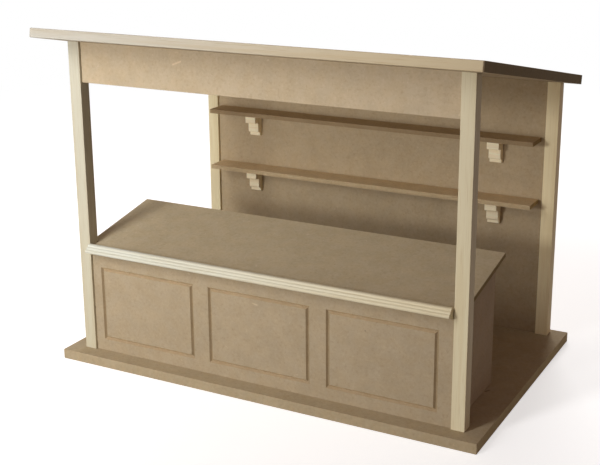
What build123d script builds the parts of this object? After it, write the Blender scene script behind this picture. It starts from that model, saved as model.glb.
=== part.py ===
from build123d import *
import os
from math import cos, radians, sin, tan

# Miniature wooden market stall, in millimetres.
# X runs along the counter, -Y is the customers' side, +Z is up.
# The origin is the centre of the base plate's underside.

# Overall sizes
base_width = 294.0
base_depth = 184.0
stall_height = 225.0  # underside of the base to the roof's top front edge

# Board and strip stock
base_thickness = 6.5
roof_thickness = 6.0
panel_thickness = 3.0
post_size = 8.5
roof_strip_depth = 2.0

# Posts, measured in from the edges of the base
post_side_inset = 11.1
front_post_setback = 10.1
back_post_setback = 4.2

# Mono-pitch roof, falling to the back
roof_width = 294.0
roof_slope = 11.0
roof_front_overhang = 11.5  # base's front edge to the roof's top front edge
roof_length = 197.0  # along the slope, front strip included

# Boards set back between the posts
front_board_recess = 1.8
back_wall_recess = 2.0
fascia_bottom = 188.5  # height of the fascia's lower edge above the ground

# Sloping display counter
counter_slope = 11.0
counter_depth = 70.6  # on plan, front board's face to the top's back edge
counter_back_height = 93.1  # top surface at the back edge
counter_side_overhang = 5.1  # past the side boards
counter_back_overhang = 2.1  # past the side boards
notch_gap = 0.2  # round the posts

# Panel outlines milled into the counter front with a pointed cutter
panel_count = 3
milled_side_margin = 7.9  # from the board's ends
milled_spacing = 11.2
milled_bottom_margin = 7.9  # above the base plate
milled_top_margin = 13.8  # below the counter top's front edge
milled_shift = 1.4  # the group sits this far left of the middle
groove_width = 2.5  # across the top of the groove
groove_floor = 0.1  # across its bottom
groove_flank = 45.0  # between its sides and a line square to the board

# Reeded rail along the counter's front edge
rail_end_gap = 0.5
lip_height = 2.4  # above the counter top
lip_width = 1.4
rail_top_reach = 1.9  # in front of the posts
rail_face_run = 4.5
rail_face_drop = 4.1
rail_nose_drop = 0.9
rail_heel_drop = 3.1
reed_count = 3
reed_height = 0.35

# Wall shelves
shelf_depth = 18.0
shelf_end_gap = 3.0  # to the side of each back post
shelf_heights = {"lower": 102.6, "upper": 145.4}  # top surfaces

# Stepped corbels under the shelves
bracket_width = 8.5
bracket_inset = 33.1  # from the side of each back post to the bracket's middle
bracket_depths = (9.8, 5.4, 3.0)
bracket_drops = (6.8, 7.6, 2.6)
bracket_round = 0.7
bracket_ovolo = 1.5

# Places that the pieces share
front_post_face = -base_depth / 2 + front_post_setback
front_post_middle = front_post_face + post_size / 2
back_post_middle = base_depth / 2 - back_post_setback - post_size / 2
back_post_face = back_post_middle - post_size / 2
post_middle_x = base_width / 2 - post_side_inset - post_size / 2
bay_width = 2 * post_middle_x - post_size
front_board_face = front_post_face + front_board_recess
wall_face = back_post_face + back_wall_recess

# The roof's top surface, with local Y running down the slope
roof_top = Plane(
    origin=(0, -base_depth / 2 - roof_front_overhang, stall_height),
    x_dir=(1, 0, 0),
    z_dir=(0, sin(radians(roof_slope)), cos(radians(roof_slope))),
)
roof_underside = roof_top.offset(-roof_thickness)

# The counter's top surface, with local Y running up the slope from the back edge
counter_back_edge = front_board_face + counter_depth
counter_surface = Plane(
    origin=(0, counter_back_edge, counter_back_height),
    x_dir=(1, 0, 0),
    z_dir=(0, -sin(radians(counter_slope)), cos(radians(counter_slope))),
)
counter_underside = counter_surface.offset(-panel_thickness)
counter_front_height = counter_back_height - counter_depth * tan(radians(counter_slope))
side_board_back = counter_back_edge - counter_back_overhang

os.makedirs("parts", exist_ok=True)


def save(piece, name):
    piece.label = name
    export_step(piece, f"parts/{name}.step")


# Base plate
with BuildPart() as base_plate:
    with BuildSketch():
        Rectangle(base_width, base_depth)
    extrude(amount=base_thickness)
save(base_plate.part, "base_plate")

# Four square posts, cut to the roof's slope at the top
posts = {
    "front_left_post": (-post_middle_x, front_post_middle),
    "front_right_post": (post_middle_x, front_post_middle),
    "back_left_post": (-post_middle_x, back_post_middle),
    "back_right_post": (post_middle_x, back_post_middle),
}
for name, place in posts.items():
    with BuildPart() as post:
        with BuildSketch(Plane.XY.offset(base_thickness)):
            with Locations(place):
                Rectangle(post_size, post_size)
        extrude(amount=stall_height)
        split(bisect_by=roof_underside, keep=Keep.BOTTOM)
    save(post.part, name)

# Roof board, behind a light strip that covers its front edge
with BuildPart() as roof_panel:
    with BuildSketch(roof_top):
        with Locations((0, roof_strip_depth)):
            Rectangle(roof_width, roof_length - roof_strip_depth, align=(Align.CENTER, Align.MIN))
    extrude(amount=-roof_thickness)
save(roof_panel.part, "roof_panel")

with BuildPart() as roof_front_strip:
    with BuildSketch(roof_top):
        Rectangle(roof_width, roof_strip_depth, align=(Align.CENTER, Align.MIN))
    extrude(amount=-roof_thickness)
save(roof_front_strip.part, "roof_front_strip")

# Fascia board between the front posts, up to the roof
with BuildPart() as fascia_board:
    with BuildSketch(Plane.XY.offset(fascia_bottom)):
        with Locations((0, front_board_face)):
            Rectangle(bay_width, panel_thickness, align=(Align.CENTER, Align.MIN))
    extrude(amount=stall_height)
    split(bisect_by=roof_underside, keep=Keep.BOTTOM)
save(fascia_board.part, "fascia_board")

# Back wall between the back posts, from the base to the roof
with BuildPart() as back_wall:
    with BuildSketch(Plane.XY.offset(base_thickness)):
        with Locations((0, wall_face)):
            Rectangle(bay_width, panel_thickness, align=(Align.CENTER, Align.MIN))
    extrude(amount=stall_height)
    split(bisect_by=roof_underside, keep=Keep.BOTTOM)
save(back_wall.part, "back_wall")

# Counter front between the front posts, with three milled panel outlines
milled_room = bay_width - 2 * milled_side_margin
milled_pitch = (milled_room + milled_spacing) / panel_count
milled_width = milled_pitch - milled_spacing
milled_bottom = base_thickness + milled_bottom_margin
milled_height = counter_front_height - milled_top_margin - milled_bottom
groove_depth = (groove_width - groove_floor) / 2 / tan(radians(groove_flank))
groove_plane = Plane(
    origin=(-milled_shift, front_board_face, milled_bottom + milled_height / 2),
    x_dir=(1, 0, 0),
    z_dir=(0, -1, 0),
)
with BuildPart() as counter_front:
    with BuildSketch(Plane.XY.offset(base_thickness)):
        with Locations((0, front_board_face)):
            Rectangle(bay_width, panel_thickness, align=(Align.CENTER, Align.MIN))
    extrude(amount=counter_back_height)
    split(bisect_by=counter_underside, keep=Keep.BOTTOM)
    with BuildSketch(groove_plane):
        with GridLocations(milled_pitch, 0, panel_count, 1):
            Rectangle(milled_width, milled_height)
            Rectangle(milled_width - 2 * groove_width, milled_height - 2 * groove_width, mode=Mode.SUBTRACT)
    extrude(amount=-groove_depth, taper=groove_flank, mode=Mode.SUBTRACT)
save(counter_front.part, "counter_front")

# Side boards of the counter, flush with the posts' inner faces
side_board_length = side_board_back - front_board_face - panel_thickness
for name, side in {"counter_left_side": -1, "counter_right_side": 1}.items():
    with BuildPart() as counter_side:
        with BuildSketch(Plane.XY.offset(base_thickness)):
            with Locations((side * (bay_width - panel_thickness) / 2, side_board_back)):
                Rectangle(panel_thickness, side_board_length, align=(Align.CENTER, Align.MAX))
        extrude(amount=counter_back_height)
        split(bisect_by=counter_underside, keep=Keep.BOTTOM)
    save(counter_side.part, name)

# Counter top, notched round the front posts and cut plumb behind the rail
with BuildPart() as counter_top:
    with BuildSketch(counter_surface):
        Rectangle(
            bay_width + 2 * counter_side_overhang,
            counter_depth / cos(radians(counter_slope)) + panel_thickness,
            align=(Align.CENTER, Align.MAX),
        )
    extrude(amount=-panel_thickness)
    split(bisect_by=Plane.XZ.offset(-front_board_face), keep=Keep.BOTTOM)
    with BuildSketch(Plane.XY):
        with Locations(posts["front_left_post"], posts["front_right_post"]):
            Rectangle(post_size + 2 * notch_gap, post_size + 2 * notch_gap)
    extrude(amount=stall_height, mode=Mode.SUBTRACT)
save(counter_top.part, "counter_top")

# Reeded rail: its back lies on the counter front, its lip stands above the top
lip_top = counter_front_height + lip_height
face_top = (front_post_face - rail_top_reach, lip_top)
face_bottom = (face_top[0] - rail_face_run, lip_top - rail_face_drop)
nose = (face_bottom[0] + rail_nose_drop / 2, face_bottom[1] - rail_nose_drop)
heel = (front_board_face, nose[1] - rail_heel_drop)
with BuildPart() as counter_rail:
    with BuildSketch(Plane.YZ):
        with BuildLine():
            face = Line(face_top, face_bottom, mode=Mode.PRIVATE)
            reed_ends = [face @ (reed / reed_count) for reed in range(reed_count + 1)]
            for reed_start, reed_end in zip(reed_ends, reed_ends[1:]):
                SagittaArc(reed_start, reed_end, -reed_height)
            Polyline(
                face_bottom,
                nose,
                heel,
                (front_board_face, counter_front_height),
                (face_top[0] + lip_width, lip_top),
                face_top,
            )
        make_face()
    extrude(amount=bay_width / 2 - rail_end_gap, both=True)
save(counter_rail.part, "counter_rail")

# Two shelves on the back wall, each on two stepped corbels cut from one moulding
shelf_width = bay_width - 2 * shelf_end_gap
bracket_centre = bay_width / 2 - bracket_inset
top_face, middle_face, bottom_face = (wall_face - depth for depth in bracket_depths)
top_drop, middle_drop, bottom_drop = bracket_drops
for level, height in shelf_heights.items():
    with BuildPart() as shelf:
        with BuildSketch(Plane.XY.offset(height)):
            with Locations((0, wall_face)):
                Rectangle(shelf_width, shelf_depth, align=(Align.CENTER, Align.MAX))
        extrude(amount=-panel_thickness)
    save(shelf.part, f"{level}_shelf")

    seat = height - panel_thickness
    first_step = seat - top_drop
    second_step = first_step - middle_drop
    foot = second_step - bottom_drop
    for side_name, side in {"left": -1, "right": 1}.items():
        with BuildPart() as bracket:
            with BuildSketch(Plane.YZ.offset(side * bracket_centre)):
                with BuildLine():
                    top_start = (top_face, first_step + bracket_round)
                    middle_start = (middle_face, second_step + bracket_ovolo)
                    bottom_start = (bottom_face, foot + bracket_round)
                    Polyline((wall_face, foot), (wall_face, seat), (top_face, seat), top_start)
                    nosing = JernArc(top_start, (0, -1), bracket_round, 90)
                    Polyline(nosing @ 1, (middle_face, first_step), middle_start)
                    ovolo = JernArc(middle_start, (0, -1), bracket_ovolo, 90)
                    Polyline(ovolo @ 1, (bottom_face, second_step), bottom_start)
                    bead = JernArc(bottom_start, (0, -1), bracket_round, 90)
                    Line(bead @ 1, (wall_face, foot))
                make_face()
            extrude(amount=bracket_width / 2, both=True)
        save(bracket.part, f"{level}_{side_name}_bracket")
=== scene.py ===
"""Miniature wooden market stall: the finish of its boards and strips, floor, light and camera."""

import math

import bpy
from mathutils import Matrix, Vector

MM = 0.001

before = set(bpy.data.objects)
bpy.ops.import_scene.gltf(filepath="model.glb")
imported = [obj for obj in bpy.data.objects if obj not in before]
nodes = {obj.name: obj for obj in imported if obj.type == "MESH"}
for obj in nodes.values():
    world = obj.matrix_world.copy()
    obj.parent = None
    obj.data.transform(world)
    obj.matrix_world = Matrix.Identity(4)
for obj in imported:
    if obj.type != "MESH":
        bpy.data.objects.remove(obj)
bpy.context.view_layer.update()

# Camera, worked out from the photograph's perspective
IMAGE_WIDTH, IMAGE_HEIGHT = 600, 465
VERTICAL_CENTRE_PX = 200.0
FOCAL_LENGTH_PX = 1158.34
CAMERA_PLACE = (0.33911, -0.65539, 0.31799)
CAMERA_AZIMUTH = math.radians(28.324)
CAMERA_TILT_DOWN = math.radians(15.964)
CAMERA_ROLL = math.radians(0.424)
SENSOR_WIDTH = 36.0
CLIP_RANGE = (0.05, 50)

# Lamps: place, size across and along, power in watts, and the point that each is aimed at
LAMPS = {
    "key": ((-0.36, -1.15, 0.345), (0.50, 0.20), 10.8, (-1.30, 0, 1.10)),
    "window": ((-0.26, -0.82, 0.70), (0.60, 0.60), 11.2, (-1.23, 0, 0.56)),
    "table": ((-0.02, -0.80, 0.07), (0.50, 0.12), 1.05, (-0.02, 0, 0.15)),
    "back": ((-0.24, 1.15, 0.75), (0.50, 0.50), 8.5, (0, 0, 0.12)),
}
WORLD_LIGHT = (0.56, 0.38, 0.325)
WORLD_STRENGTH = 0.30

# Floor: its look near the stall and where it turns white, and what it throws back on the stall
FLOOR_SIZE = 12.0
FLOOR_PAPER = (0.75, 0.75, 0.75)
FLOOR_GLOW = 0.62
FLOOR_TURNS_WHITE = (0.35, 1.1)
FLOOR_BOUNCE = (0.40, 0.367, 0.324)
WHITE = (1, 1, 1)

# Edge rounding
BOARD_EDGE_ROUND = 0.22 * MM
STRIP_EDGE_ROUND = 0.35 * MM
ROOF_STRIP_EDGE_ROUND = 0.6 * MM
EDGE_SEGMENTS = 2
SHARP_EDGE = math.radians(35)
FLAT_ENOUGH = math.radians(0.5)
WELD_DISTANCE = 1e-6
FACE_AREA_WEIGHT = 100

# Colours of the fibreboard and the stripwood
FIBREBOARD = (0.40, 0.324, 0.22)
FIBREBOARD_DARK = (0.25, 0.172, 0.096)
FIBREBOARD_PALE = (0.53, 0.436, 0.308)
STRIPWOOD = (0.548, 0.455, 0.298)
STRIPWOOD_DARK = (0.416, 0.30, 0.16)
STRIPWOOD_PALE = (0.608, 0.544, 0.404)

# Tones that multiply the fibreboard's colour
NO_CHANGE = (1, 1, 1)
WARM_BLOTCH = (1.01, 1.0, 0.982)
COOL_BLOTCH = (0.99, 1.0, 1.018)
# Groove sides: the milled core's warmer tone, with painted shade on upright and upward-facing sides
# and painted light on downward-facing ones
MILLED_UPRIGHT_WITH_PAINTED_SHADE = (0.80, 0.75, 0.66)
MILLED_UPWARD_WITH_PAINTED_SHADE = (0.93, 0.87, 0.79)
MILLED_DOWNWARD_WITH_PAINTED_LIGHT = (1.28, 1.20, 1.06)
SAW_CUT = (0.97, 0.96, 0.94)
# Shelves' long edges darker, taking back on them part of the painted light in the shelves' tone
SHELF_EDGE_TAKES_BACK_PAINTED_LIGHT = (0.70, 0.68, 0.64)
# Right-facing ends: painted shade on most boards and the roof, painted light on the base
CROSS_CUT_WITH_PAINTED_SHADE = (0.57, 0.53, 0.38)
BASE_CROSS_CUT_WITH_PAINTED_LIGHT = (1.38, 1.46, 1.34)
ROOF_CROSS_CUT_WITH_PAINTED_SHADE = (0.44, 0.44, 0.40)

# Noises: scale, detail, roughness and distortion
CLOUDS = (80, 3, 0.55, 0.0)
BLOTCHES = (130, 2, 0.5, 0.0)
FIBRES = (520, 3, 0.75, 0.3)
FLECKS = (330, 1, 0.5, 0.8)
RINGS = (380, 2, 0.5, 0.3)
GRAIN_LINES = (1500, 2, 0.6, 0.0)
STREAKS = (110, 1, 0.5, 0.0)

# Values of a noise between which a tone comes in, and how much of it
PALE_CLOUDS = (0.35, 0.65, 0.22)
DARK_FIBRES = (0.50, 0.78, 0.36)
PALE_FIBRES = (0.50, 0.24, 0.36)
PALE_FLECKS = (0.72, 0.80, 0.5)
WARM_BLOTCHES = (0.32, 0.68, 1.0)
PLAIN_RINGS = (0.42, 0.66, 0.45)
DARK_GRAIN_LINES = (0.54, 0.74, 0.35)
DARK_STREAKS = (0.5, 0.7, 0.18)

# Cosines between a face's normal and a direction, from which a cut, with the painted light and
# shade on it, shows and where it does fully.
# A milled groove's sides lean at 45 degrees, so only faces near a cosine of 0.7 count as milled.
MILLED_FROM_STEEPER = (0.60, 0.66)
MILLED_FROM_FLATTER = (0.80, 0.74)
SAWN = (0.5, 0.3)
LOOKS_SIDEWAYS = (0.4, 0.6)
LOOKS_RIGHT = (0.5, 0.8)
LOOKS_UP = (-0.1, 0.1)

# Surfaces: roughness, gloss, bump distance and bump strength
FIBREBOARD_SURFACE = (0.8, 0.08, 0.06 * MM, 0.5)
STRIPWOOD_SURFACE = (0.6, 0.2, 0.03 * MM, 0.4)
RING_RELIEF = 0.5

# Steps through the noise from one piece to the next, so that no two have the same pattern
FIBREBOARD_STEP = (0.37, 0.61, 0.23)
STRIPWOOD_STEP = (0.29, 0.43, 0.57)

# The direction across each board's thickness, and its tone over the whole piece: its own tone
# together with painted light and shade
ROOF_SLOPE = math.radians(11)
COUNTER_SLOPE = math.radians(11)
UP = (0, 0, 1)
TO_BACK = (0, 1, 0)
TO_RIGHT = (1, 0, 0)
ROOF_NORMAL = (0, math.sin(ROOF_SLOPE), math.cos(ROOF_SLOPE))
COUNTER_NORMAL = (0, -math.sin(COUNTER_SLOPE), math.cos(COUNTER_SLOPE))
BOARDS = {
    "base_plate": (UP, (1.05, 1.04, 0.98)),
    "roof_panel": (ROOF_NORMAL, (1.30, 1.30, 1.28)),
    "counter_top": (COUNTER_NORMAL, (1.17, 1.19, 1.14)),
    "fascia_board": (TO_BACK, (1.15, 1.14, 1.12)),
    "counter_front": (TO_BACK, (0.98, 0.965, 0.93)),
    "back_wall": (TO_BACK, (1.15, 1.11, 1.02)),
    "counter_left_side": (TO_RIGHT, (1.17, 1.16, 1.16)),
    "counter_right_side": (TO_RIGHT, (1.17, 1.16, 1.16)),
    "upper_shelf": (UP, (1.15, 1.05, 0.92)),
    "lower_shelf": (UP, (1.68, 1.62, 1.48)),
}
# Shelves, whose long sawn edges take back part of the painted light in their tone, and boards whose
# right ends get painted light (the base) and painted shade (the roof and the rest)
LONG_EDGES = {"upper_shelf": SHELF_EDGE_TAKES_BACK_PAINTED_LIGHT, "lower_shelf": SHELF_EDGE_TAKES_BACK_PAINTED_LIGHT}
RIGHT_END_PAINTED_LIGHT = {"base_plate": BASE_CROSS_CUT_WITH_PAINTED_LIGHT, "roof_panel": ROOF_CROSS_CUT_WITH_PAINTED_SHADE}

# Small marks in the boards: start, end, reach on both sides, and how much paler or darker
MARKS = {
    "base_plate": [((0.1282, -0.0243, 0.0065), (0.1296, -0.0218, 0.0065), 1.1 * MM, 0.55)],
    "fascia_board": [((-0.0575, -0.0801, 0.2049), (-0.0520, -0.0801, 0.2070), 0.9 * MM, 1.30)],
    "counter_front": [
        ((-0.0046, -0.0801, 0.0603), (-0.0017, -0.0801, 0.0598), 0.9 * MM, 1.30),
        ((0.0717, -0.0801, 0.0566), (0.0721, -0.0801, 0.0566), 0.7 * MM, 0.66),
    ],
}

# Which way each strip's grain runs, and its tone at the low end and the high end: its own tone
# together with painted light and shade, brightest on the brackets
BRACKET_CAST_WITH_PAINTED_LIGHT = (1.70, 1.71, 1.65)
STRIPS = {
    "front_left_post": ("Z", (0.93, 0.96, 0.95), (0.89, 0.95, 1.02)),
    "front_right_post": ("Z", (1.24, 1.25, 1.15), (1.04, 1.04, 0.97)),
    "back_left_post": ("Z", (1.23, 1.21, 1.06), (1.23, 1.21, 1.06)),
    "back_right_post": ("Z", (1.60, 1.57, 1.36), (1.60, 1.57, 1.36)),
    "roof_front_strip": ("X", (0.75, 0.80, 0.93), (0.86, 0.79, 0.68)),
    "counter_rail": ("X", (1.10, 1.25, 1.46), (1.23, 1.24, 1.17)),
    "upper_left_bracket": ("X", BRACKET_CAST_WITH_PAINTED_LIGHT, BRACKET_CAST_WITH_PAINTED_LIGHT),
    "upper_right_bracket": ("X", BRACKET_CAST_WITH_PAINTED_LIGHT, BRACKET_CAST_WITH_PAINTED_LIGHT),
    "lower_left_bracket": ("X", BRACKET_CAST_WITH_PAINTED_LIGHT, BRACKET_CAST_WITH_PAINTED_LIGHT),
    "lower_right_bracket": ("X", BRACKET_CAST_WITH_PAINTED_LIGHT, BRACKET_CAST_WITH_PAINTED_LIGHT),
}
# The two ends of that tone with painted light, and how the noise is drawn out along the grain
STRIP_ENDS = {"X": (-0.147, 0.147), "Z": (0.0, 0.21)}
GRAIN_STRETCH = {"X": (0.03, 1, 1), "Z": (1, 1, 0.03)}


class Shader:
    """The node tree of a material or the world, with short calls for the nodes it needs."""

    def __init__(self, owner):
        owner.use_nodes = True
        self.owner = owner
        self.tree = owner.node_tree
        self.tree.nodes.clear()

    def node(self, kind, settings=None, inputs=None):
        made = self.tree.nodes.new(kind)
        for key, value in (settings or {}).items():
            setattr(made, key, value)
        for key, value in (inputs or {}).items():
            self.feed(made.inputs[key], value)
        return made

    def feed(self, socket, value):
        if isinstance(value, bpy.types.NodeSocket):
            self.tree.links.new(value, socket)
        elif socket.type == "RGBA" and len(value) == 3:
            socket.default_value = (*value, 1)
        else:
            socket.default_value = value

    def math(self, operation, first, second=0.0):
        made = self.node("ShaderNodeMath", {"operation": operation}, {0: first, 1: second})
        return made.outputs[0]

    def vector_math(self, operation, first, second):
        settings = {"operation": operation}
        made = self.node("ShaderNodeVectorMath", settings, {0: first, 1: second})
        return made.outputs["Value" if operation in ("DOT_PRODUCT", "DISTANCE") else "Vector"]

    def component(self, vector, axis):
        return self.node("ShaderNodeSeparateXYZ", None, {0: vector}).outputs[axis]

    def own_place(self):
        return self.node("ShaderNodeTexCoord").outputs["Object"]

    def near_line(self, place, start, end, reach):
        """1 on the line from start to end, fading to 0 at the reach from it."""
        run = Vector(end) - Vector(start)
        offset = self.vector_math("SUBTRACT", place, start)
        along = self.vector_math("DOT_PRODUCT", offset, run)
        share = self.math("DIVIDE", along, run.length_squared)
        share = self.math("MINIMUM", self.math("MAXIMUM", share, 0.0), 1.0)
        nearest = self.vector_math("MULTIPLY", share, run)
        return self.ramp(self.vector_math("DISTANCE", offset, nearest), reach, 0.0)

    def mix(self, factor, first, second):
        made = self.node("ShaderNodeMix", {"data_type": "RGBA"})
        self.feed(made.inputs["Factor"], factor)
        self.feed(made.inputs[6], first)
        self.feed(made.inputs[7], second)
        return made.outputs[2]

    def tone(self, colour, factor, tone):
        """The colour, multiplied by the tone as far as the factor says."""
        return self.vector_math("MULTIPLY", colour, self.mix(factor, NO_CHANGE, tone))

    def ramp(self, value, start, end, height=1.0):
        """0 at the start, rising smoothly to the height at the end."""
        inputs = {
            "Value": value,
            "From Min": start,
            "From Max": end,
            "To Min": 0.0,
            "To Max": height,
        }
        settings = {"interpolation_type": "SMOOTHSTEP"}
        return self.node("ShaderNodeMapRange", settings, inputs).outputs[0]

    def noise(self, place, scale, detail, roughness, distortion):
        inputs = {
            "Vector": place,
            "Scale": scale,
            "Detail": detail,
            "Roughness": roughness,
            "Distortion": distortion,
        }
        return self.node("ShaderNodeTexNoise", None, inputs).outputs["Fac"]

    def emission(self, strength):
        inputs = {"Color": WHITE, "Strength": strength}
        return self.node("ShaderNodeEmission", None, inputs).outputs[0]

    def diffuse(self, colour):
        return self.node("ShaderNodeBsdfDiffuse", None, {"Color": colour}).outputs[0]

    def background(self, colour, strength):
        inputs = {"Color": colour, "Strength": strength}
        return self.node("ShaderNodeBackground", None, inputs).outputs[0]

    def mix_shader(self, factor, first, second):
        inputs = {0: factor, 1: first, 2: second}
        return self.node("ShaderNodeMixShader", None, inputs).outputs[0]

    def seen_directly(self):
        """1 for rays from the camera or its mirror reflections, and 0 for light that bounces on."""
        rays = self.node("ShaderNodeLightPath").outputs
        seen = self.math("MAXIMUM", rays["Is Camera Ray"], rays["Is Glossy Ray"])
        return self.math("MAXIMUM", seen, rays["Is Transmission Ray"])

    def finish(self, colour, height, roughness, gloss, bump_distance, bump_strength):
        inputs = {"Height": height, "Distance": bump_distance, "Strength": bump_strength}
        bump = self.node("ShaderNodeBump", None, inputs).outputs[0]
        inputs = {
            "Base Color": colour,
            "Roughness": roughness,
            "Specular IOR Level": gloss,
            "Normal": bump,
        }
        surface = self.node("ShaderNodeBsdfPrincipled", None, inputs).outputs[0]
        self.output("ShaderNodeOutputMaterial", surface)
        return self.owner

    def output(self, kind, surface):
        self.node(kind, None, {"Surface": surface})


def step(order, amounts):
    return tuple(order * amount for amount in amounts)


def fibreboard(node, order):
    """Bare fibreboard: tan with fine pale and dark fibres, other tones where it is cut, painted
    light and shade on groove sides and right-facing ends, and a tone over the whole piece with
    painted light.
    """
    normal, cast_with_painted_light = BOARDS[node]
    shader = Shader(bpy.data.materials.new(f"fibreboard {node}"))
    own_place = shader.own_place()
    place = shader.vector_math("ADD", own_place, step(order, FIBREBOARD_STEP))
    clouds = shader.noise(place, *CLOUDS)
    blotches = shader.noise(place, *BLOTCHES)
    fibres = shader.noise(place, *FIBRES)
    flecks = shader.noise(place, *FLECKS)

    colour = shader.mix(shader.ramp(clouds, *PALE_CLOUDS), FIBREBOARD, FIBREBOARD_PALE)
    colour = shader.mix(shader.ramp(fibres, *DARK_FIBRES), colour, FIBREBOARD_DARK)
    colour = shader.mix(shader.ramp(fibres, *PALE_FIBRES), colour, FIBREBOARD_PALE)
    colour = shader.mix(shader.ramp(flecks, *PALE_FLECKS), colour, FIBREBOARD_PALE)
    blotch = shader.mix(shader.ramp(blotches, *WARM_BLOTCHES), COOL_BLOTCH, WARM_BLOTCH)
    colour = shader.vector_math("MULTIPLY", colour, blotch)

    facing = shader.node("ShaderNodeNewGeometry").outputs["Normal"]
    across = shader.math("ABSOLUTE", shader.vector_math("DOT_PRODUCT", facing, normal))
    to_right = shader.vector_math("DOT_PRODUCT", facing, TO_RIGHT)
    sideways = shader.ramp(shader.math("ABSOLUTE", to_right), *LOOKS_SIDEWAYS)
    upward = shader.ramp(shader.component(facing, "Z"), *LOOKS_UP)
    # Groove sides: painted shade on upright and upward-facing sides, painted light on
    # downward-facing ones, with the milled core's warmer tone
    flank_tone_and_painted_light = shader.mix(upward, MILLED_DOWNWARD_WITH_PAINTED_LIGHT, MILLED_UPWARD_WITH_PAINTED_SHADE)
    flank_tone_and_painted_light = shader.mix(sideways, flank_tone_and_painted_light, MILLED_UPRIGHT_WITH_PAINTED_SHADE)
    from_steeper = shader.ramp(across, *MILLED_FROM_STEEPER)
    from_flatter = shader.ramp(across, *MILLED_FROM_FLATTER)
    milled = shader.math("MULTIPLY", from_steeper, from_flatter)
    colour = shader.tone(colour, milled, flank_tone_and_painted_light)

    # Sawn edges: painted shade on right-facing ends, painted light on the base's, and on the
    # shelves a darker long edge taking back painted light
    long_edge = LONG_EDGES.get(node, SAW_CUT)
    right_end_painted_light = RIGHT_END_PAINTED_LIGHT.get(node, CROSS_CUT_WITH_PAINTED_SHADE)
    edge_tone_and_painted_light = shader.mix(shader.ramp(to_right, *LOOKS_RIGHT), long_edge, right_end_painted_light)
    colour = shader.tone(colour, shader.ramp(across, *SAWN), edge_tone_and_painted_light)

    for start, end, reach, tone in MARKS.get(node, []):
        mark = shader.near_line(own_place, start, end, reach)
        colour = shader.tone(colour, mark, (tone, tone, tone))
    # Multiplies the colour by the piece's tone, which carries painted light and shade as well as
    # its own colour
    colour = shader.vector_math("MULTIPLY", colour, cast_with_painted_light)
    return shader.finish(colour, fibres, *FIBREBOARD_SURFACE)


def stripwood(node, order):
    """Pale planed softwood: straight grain along the strip, with fine pores."""
    grain, low_cast_with_painted_light, high_cast_with_painted_light = STRIPS[node]
    shader = Shader(bpy.data.materials.new(f"stripwood {node}"))
    own_place = shader.own_place()
    place = shader.vector_math("ADD", own_place, step(order, STRIPWOOD_STEP))
    along = shader.vector_math("MULTIPLY", place, GRAIN_STRETCH[grain])
    rings = shader.noise(along, *RINGS)
    grain_lines = shader.noise(along, *GRAIN_LINES)
    streaks = shader.noise(along, *STREAKS)

    colour = shader.mix(shader.ramp(rings, *PLAIN_RINGS), STRIPWOOD_PALE, STRIPWOOD)
    colour = shader.mix(shader.ramp(grain_lines, *DARK_GRAIN_LINES), colour, STRIPWOOD_DARK)
    colour = shader.mix(shader.ramp(streaks, *DARK_STREAKS), colour, STRIPWOOD_DARK)
    # The strip's tone, from its low end to its high end, carries painted light and shade as well as
    # its own colour
    to_high_end = shader.ramp(shader.component(own_place, grain), *STRIP_ENDS[grain])
    cast_with_painted_light = shader.mix(to_high_end, low_cast_with_painted_light, high_cast_with_painted_light)
    colour = shader.vector_math("MULTIPLY", colour, cast_with_painted_light)
    relief = shader.math("ADD", grain_lines, shader.math("MULTIPLY", rings, RING_RELIEF))
    return shader.finish(colour, relief, *STRIPWOOD_SURFACE)


def dress(node, material, edge_round):
    """Gives the piece its finish, and rounds its edges a little, as sanding does."""
    piece = nodes[node]
    piece.data.materials.clear()
    piece.data.materials.append(material)

    # Faces that meet flat are joined first, so that only real edges are rounded
    weld = piece.modifiers.new("weld", "WELD")
    weld.merge_threshold = WELD_DISTANCE
    flat = piece.modifiers.new("flat faces", "DECIMATE")
    flat.decimate_type = "DISSOLVE"
    flat.angle_limit = FLAT_ENOUGH
    rounding = piece.modifiers.new("rounded edges", "BEVEL")
    rounding.width = edge_round
    rounding.segments = EDGE_SEGMENTS
    rounding.limit_method = "ANGLE"
    rounding.angle_limit = SHARP_EDGE
    rounding.use_clamp_overlap = True
    even = piece.modifiers.new("even shading", "WEIGHTED_NORMAL")
    even.weight = FACE_AREA_WEIGHT


def make_floor():
    """White to the camera, with the stall's shadow, and a duller bounce for everything else."""
    mesh = bpy.data.meshes.new("floor")
    half = FLOOR_SIZE / 2
    corners = [(-half, -half, 0), (half, -half, 0), (half, half, 0), (-half, half, 0)]
    mesh.from_pydata(corners, [], [(0, 1, 2, 3)])
    floor = bpy.data.objects.new("floor", mesh)
    bpy.context.scene.collection.objects.link(floor)

    shader = Shader(bpy.data.materials.new("floor"))
    length = shader.node("ShaderNodeVectorMath", {"operation": "LENGTH"}, {0: shader.own_place()})
    far = shader.ramp(length.outputs["Value"], *FLOOR_TURNS_WHITE)
    near_inputs = {0: shader.diffuse(FLOOR_PAPER), 1: shader.emission(FLOOR_GLOW)}
    near_look = shader.node("ShaderNodeAddShader", None, near_inputs).outputs[0]
    look = shader.mix_shader(far, near_look, shader.emission(1.0))
    both = shader.mix_shader(shader.seen_directly(), shader.diffuse(FLOOR_BOUNCE), look)
    shader.output("ShaderNodeOutputMaterial", both)
    mesh.materials.append(shader.owner)


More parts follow.
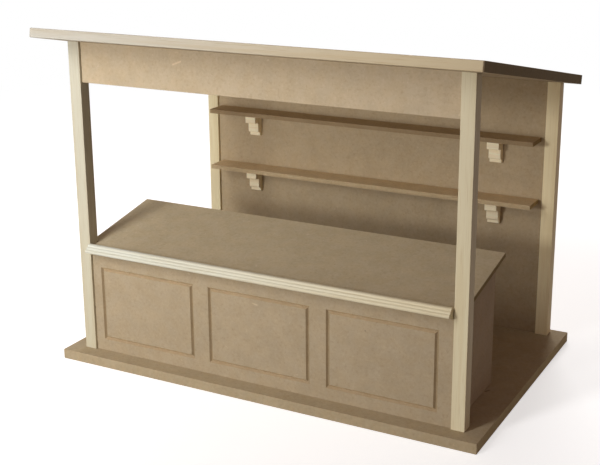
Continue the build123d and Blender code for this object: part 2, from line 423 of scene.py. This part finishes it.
def light_world():
    """White to the camera, and a soft warm fill for everything else."""
    world = bpy.data.worlds.new("world")
    bpy.context.scene.world = world
    shader = Shader(world)
    fill = shader.background(WORLD_LIGHT, WORLD_STRENGTH)
    both = shader.mix_shader(shader.seen_directly(), fill, shader.background(WHITE, 1.0))
    shader.output("ShaderNodeOutputWorld", both)


def hang_lamp(name, place, size, power, aim):
    data = bpy.data.lights.new(name, "AREA")
    data.shape = "ELLIPSE"
    data.size, data.size_y = size
    data.energy = power
    lamp = bpy.data.objects.new(name, data)
    bpy.context.scene.collection.objects.link(lamp)
    lamp.location = place
    lamp.visible_camera = False
    lamp.rotation_mode = "QUATERNION"
    lamp.rotation_quaternion = (Vector(place) - Vector(aim)).to_track_quat("Z", "Y")


def make_camera():
    data = bpy.data.cameras.new("camera")
    data.sensor_fit = "HORIZONTAL"
    data.sensor_width = SENSOR_WIDTH
    data.lens = SENSOR_WIDTH * FOCAL_LENGTH_PX / IMAGE_WIDTH
    data.shift_y = (VERTICAL_CENTRE_PX - IMAGE_HEIGHT / 2) / IMAGE_WIDTH
    data.clip_start, data.clip_end = CLIP_RANGE
    camera = bpy.data.objects.new("camera", data)
    bpy.context.scene.collection.objects.link(camera)
    camera.location = CAMERA_PLACE
    turned = (
        Matrix.Rotation(CAMERA_AZIMUTH, 3, "Z")
        @ Matrix.Rotation(-CAMERA_TILT_DOWN, 3, "X")
        @ Matrix.Rotation(CAMERA_ROLL, 3, "Y")
    )
    facing_y = Matrix.Rotation(math.radians(90), 3, "X")
    camera.rotation_mode = "QUATERNION"
    camera.rotation_quaternion = (turned @ facing_y).to_quaternion()
    bpy.context.scene.camera = camera


for order, node in enumerate(BOARDS):
    dress(node, fibreboard(node, order), BOARD_EDGE_ROUND)
for order, node in enumerate(STRIPS):
    edge_round = ROOF_STRIP_EDGE_ROUND if node == "roof_front_strip" else STRIP_EDGE_ROUND
    dress(node, stripwood(node, order), edge_round)

make_floor()
light_world()
for name, settings in LAMPS.items():
    hang_lamp(name, *settings)
make_camera()

bpy.context.scene.view_settings.view_transform = "Standard"
